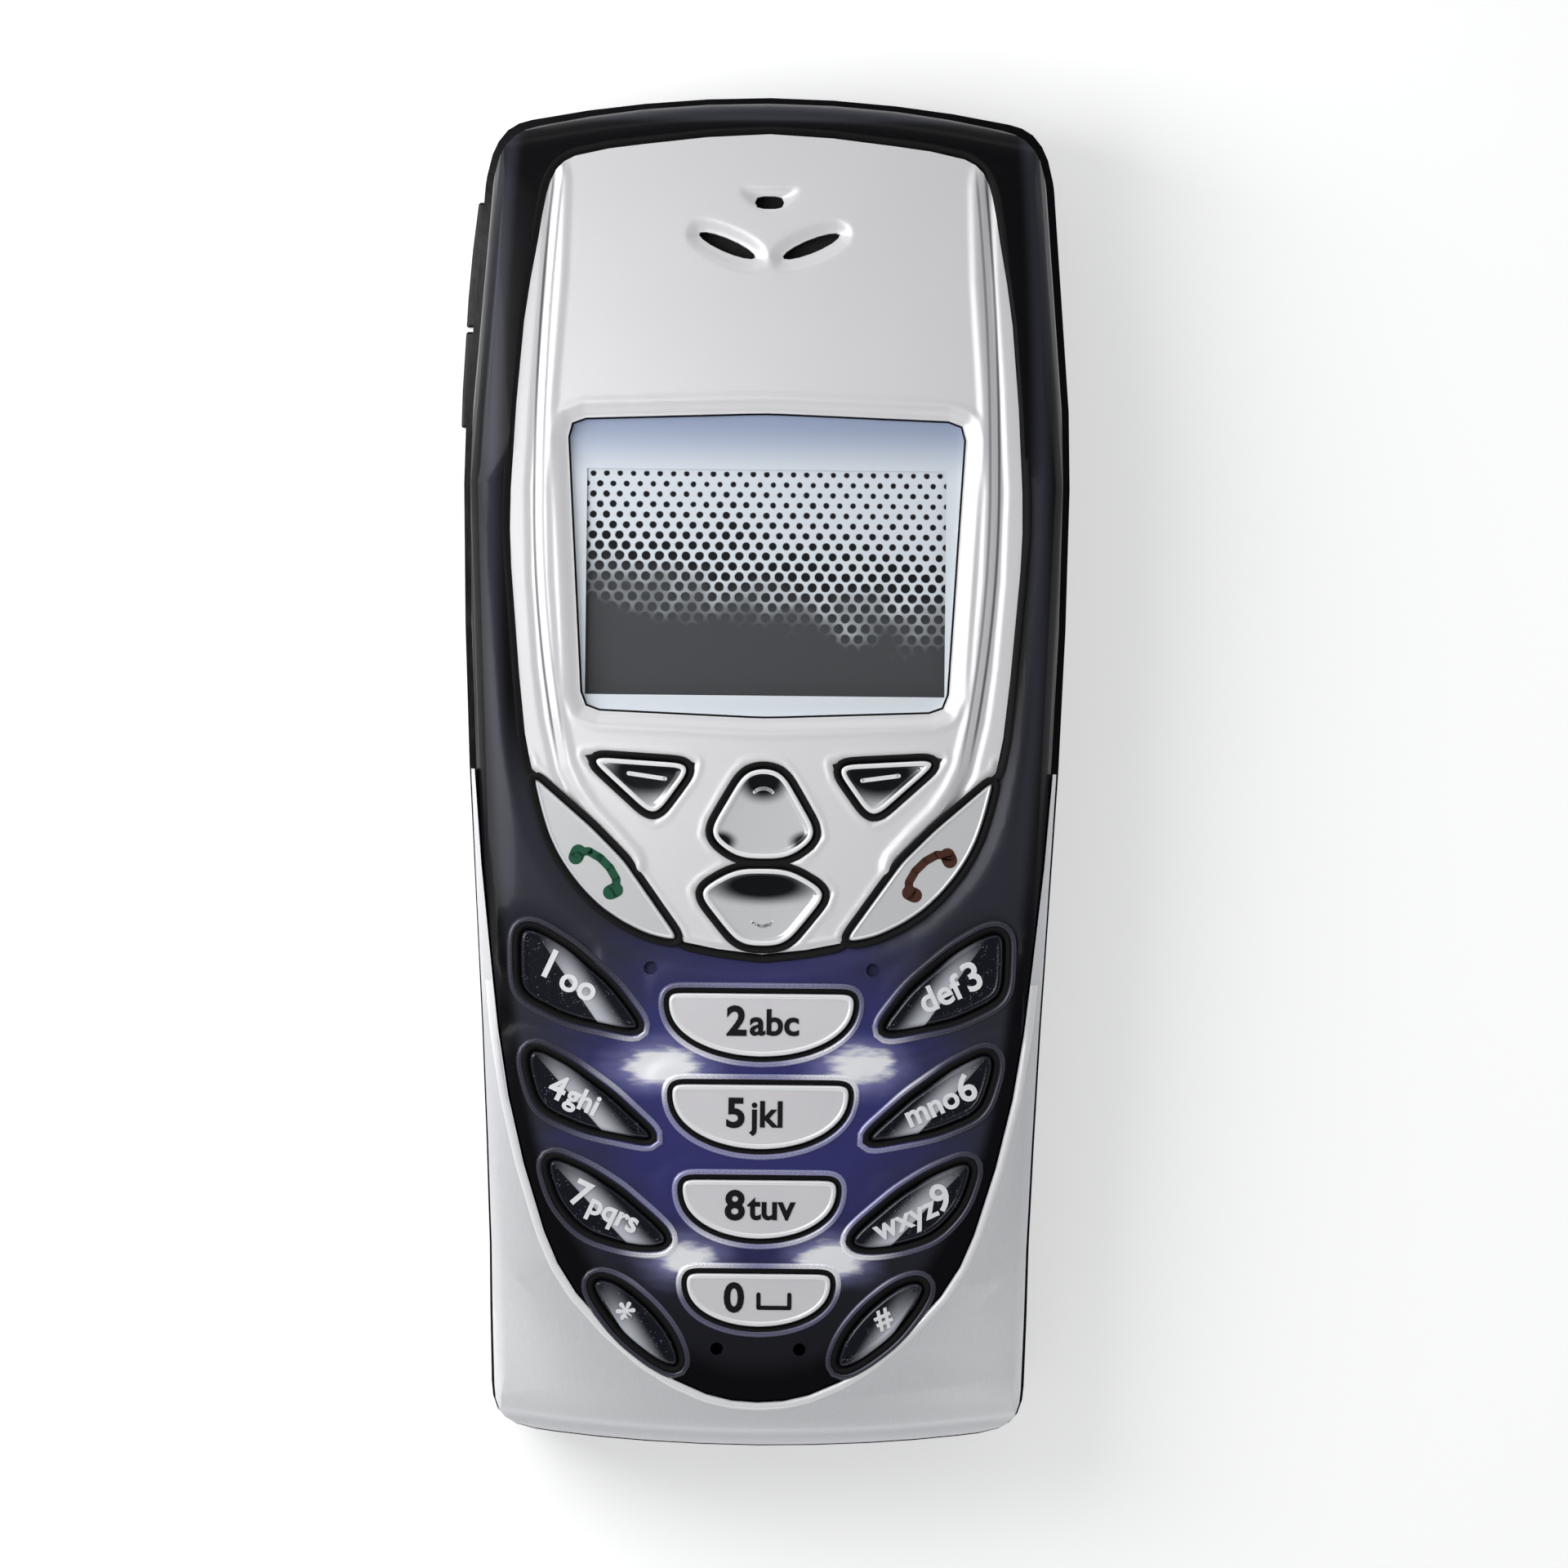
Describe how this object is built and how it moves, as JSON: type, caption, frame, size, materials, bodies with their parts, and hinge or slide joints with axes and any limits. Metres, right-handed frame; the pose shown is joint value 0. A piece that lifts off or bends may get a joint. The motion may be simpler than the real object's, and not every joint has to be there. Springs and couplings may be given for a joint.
{
  "type": "feature phone",
  "caption": "Slim candybar feature phone with a crowned front, a small display under a brushed silver plate, curved key rows and a sliding battery cover.",
  "frame": {"origin": "middle of the flat back face, on which the phone lies", "axes": "+Z out of the front face, +Y towards the earpiece end, +X to the right as the front is seen"},
  "size_m": [0.0439, 0.097, 0.0182],
  "materials": {
    "black_housing": "moulded, glossy",
    "black_cover": "moulded, fine satin",
    "silver_lower": "silver lacquer with fine lengthwise brushing",
    "dark_bezel": "dark blue-grey pearl lacquer",
    "silver_plate": "satin, fine brushed",
    "clear_window": "clear, hard coated",
    "ir_filter": "dark red infrared filter",
    "mesh_black": "fine woven mesh",
    "pad_silver": "bright satin plating",
    "key_dark": "dark blue-black with light printed digits",
    "key_silver": "silver lacquer with dark printed digits",
    "key_black": "moulded, glossy",
    "board_green": "green solder mask",
    "can_steel": "tinned steel",
    "antenna_copper": "copper foil",
    "carrier_white": "white moulded",
    "panel_grey": "liquid crystal panel",
    "flex_amber": "polyimide film",
    "steel": "plain steel",
    "rubber_black": "moulded",
    "film": "thin film",
    "connector_black": "moulded",
    "contact_gold": "gold plated",
    "battery_grey": "wrapped pack",
    "card_white": "plain card",
    "switch_white": "moulded"
  },
  "bodies": {
    "handset": {"rear_housing": "black_housing", "lower_cover": "silver_lower", "ir_window": "ir_filter", "main_board": "board_green", "shield_can_upper": "can_steel", "shield_can_lower": "can_steel", "antenna": "antenna_copper", "display_carrier": "carrier_white", "display_panel": "panel_grey", "display_flex": "flex_amber", "earpiece": "steel", "earpiece_gasket": "rubber_black", "dome_sheet": "film", "key_domes": "steel", "microphone": "steel", "mic_boot": "rubber_black", "system_connector": "connector_black", "charging_contacts": "contact_gold", "battery": "battery_grey", "battery_contacts": "contact_gold", "sim_reader": "can_steel", "sim_card": "card_white", "backup_cell": "steel", "buzzer": "connector_black", "vibration_motor": "steel", "board_screws": "steel", "volume_switch_board": "board_green", "power_switch": "switch_white"},
    "front_cover": {"front_bezel": "dark_bezel", "face_plate": "silver_plate", "display_window": "clear_window", "earpiece_mesh": "mesh_black"},
    "soft_key_left": {"soft_key_left": "pad_silver"},
    "soft_key_right": {"soft_key_right": "pad_silver"},
    "scroll_up_key": {"scroll_up_key": "pad_silver"},
    "scroll_down_key": {"scroll_down_key": "pad_silver"},
    "call_key": {"call_key": "pad_silver"},
    "end_key": {"end_key": "pad_silver"},
    "key_1": {"key_1": "key_dark"},
    "key_2": {"key_2": "key_silver"},
    "key_3": {"key_3": "key_dark"},
    "key_4": {"key_4": "key_dark"},
    "key_5": {"key_5": "key_silver"},
    "key_6": {"key_6": "key_dark"},
    "key_7": {"key_7": "key_dark"},
    "key_8": {"key_8": "key_silver"},
    "key_9": {"key_9": "key_dark"},
    "key_star": {"key_star": "key_dark"},
    "key_0": {"key_0": "key_silver"},
    "key_hash": {"key_hash": "key_dark"},
    "volume_up_key": {"volume_up_key": "key_black"},
    "volume_down_key": {"volume_down_key": "key_black"},
    "power_key": {"power_key": "key_black"},
    "release_button": {"release_button": "key_black"},
    "battery_cover": {"battery_cover": "black_cover"},
    "vibra_weight": {"vibra_weight": "steel"}
  },
  "joints": [
    {"name": "front_cover_lift", "type": "slide", "parent": "handset", "child": "front_cover", "axis": [0, 0, 1], "range_m": [0, 0.03]},
    {"name": "soft_key_left_press", "type": "slide", "parent": "front_cover", "child": "soft_key_left", "axis": [0, 0, -1], "range_m": [0, 0.0004], "stiffness_N_per_m": 400},
    {"name": "soft_key_right_press", "type": "slide", "parent": "front_cover", "child": "soft_key_right", "axis": [0, 0, -1], "range_m": [0, 0.0004], "stiffness_N_per_m": 400},
    {"name": "scroll_up_key_press", "type": "slide", "parent": "front_cover", "child": "scroll_up_key", "axis": [0, 0, -1], "range_m": [0, 0.0004], "stiffness_N_per_m": 400},
    {"name": "scroll_down_key_press", "type": "slide", "parent": "front_cover", "child": "scroll_down_key", "axis": [0, 0, -1], "range_m": [0, 0.0004], "stiffness_N_per_m": 400},
    {"name": "call_key_press", "type": "slide", "parent": "front_cover", "child": "call_key", "axis": [0, 0, -1], "range_m": [0, 0.0004], "stiffness_N_per_m": 400},
    {"name": "end_key_press", "type": "slide", "parent": "front_cover", "child": "end_key", "axis": [0, 0, -1], "range_m": [0, 0.0004], "stiffness_N_per_m": 400},
    {"name": "key_1_press", "type": "slide", "parent": "front_cover", "child": "key_1", "axis": [0, 0, -1], "range_m": [0, 0.0004], "stiffness_N_per_m": 400},
    {"name": "key_2_press", "type": "slide", "parent": "front_cover", "child": "key_2", "axis": [0, 0, -1], "range_m": [0, 0.0004], "stiffness_N_per_m": 400},
    {"name": "key_3_press", "type": "slide", "parent": "front_cover", "child": "key_3", "axis": [0, 0, -1], "range_m": [0, 0.0004], "stiffness_N_per_m": 400},
    {"name": "key_4_press", "type": "slide", "parent": "front_cover", "child": "key_4", "axis": [0, 0, -1], "range_m": [0, 0.0004], "stiffness_N_per_m": 400},
    {"name": "key_5_press", "type": "slide", "parent": "front_cover", "child": "key_5", "axis": [0, 0, -1], "range_m": [0, 0.0004], "stiffness_N_per_m": 400},
    {"name": "key_6_press", "type": "slide", "parent": "front_cover", "child": "key_6", "axis": [0, 0, -1], "range_m": [0, 0.0004], "stiffness_N_per_m": 400},
    {"name": "key_7_press", "type": "slide", "parent": "front_cover", "child": "key_7", "axis": [0, 0, -1], "range_m": [0, 0.0004], "stiffness_N_per_m": 400},
    {"name": "key_8_press", "type": "slide", "parent": "front_cover", "child": "key_8", "axis": [0, 0, -1], "range_m": [0, 0.0004], "stiffness_N_per_m": 400},
    {"name": "key_9_press", "type": "slide", "parent": "front_cover", "child": "key_9", "axis": [0, 0, -1], "range_m": [0, 0.0004], "stiffness_N_per_m": 400},
    {"name": "key_star_press", "type": "slide", "parent": "front_cover", "child": "key_star", "axis": [0, 0, -1], "range_m": [0, 0.0004], "stiffness_N_per_m": 400},
    {"name": "key_0_press", "type": "slide", "parent": "front_cover", "child": "key_0", "axis": [0, 0, -1], "range_m": [0, 0.0004], "stiffness_N_per_m": 400},
    {"name": "key_hash_press", "type": "slide", "parent": "front_cover", "child": "key_hash", "axis": [0, 0, -1], "range_m": [0, 0.0004], "stiffness_N_per_m": 400},
    {"name": "volume_up_key_press", "type": "slide", "parent": "handset", "child": "volume_up_key", "axis": [1, 0, 0], "range_m": [0, 0.00035], "stiffness_N_per_m": 400},
    {"name": "volume_down_key_press", "type": "slide", "parent": "handset", "child": "volume_down_key", "axis": [1, 0, 0], "range_m": [0, 0.00035], "stiffness_N_per_m": 400},
    {"name": "power_key_press", "type": "slide", "parent": "handset", "child": "power_key", "axis": [0, -1, 0], "range_m": [0, 0.00035], "stiffness_N_per_m": 400},
    {"name": "release_button_press", "type": "slide", "parent": "handset", "child": "release_button", "axis": [0, 0, 1], "range_m": [0, 0.0008], "stiffness_N_per_m": 400},
    {"name": "battery_cover_slide", "type": "slide", "parent": "handset", "child": "battery_cover", "axis": [0, -1, 0], "range_m": [0, 0.07]},
    {"name": "vibra_weight_spin", "type": "hinge", "parent": "handset", "child": "vibra_weight", "pos_m": [-0.0087, 0.036, 0.0041], "axis": [1, 0, 0], "continuous": true}
  ]
}
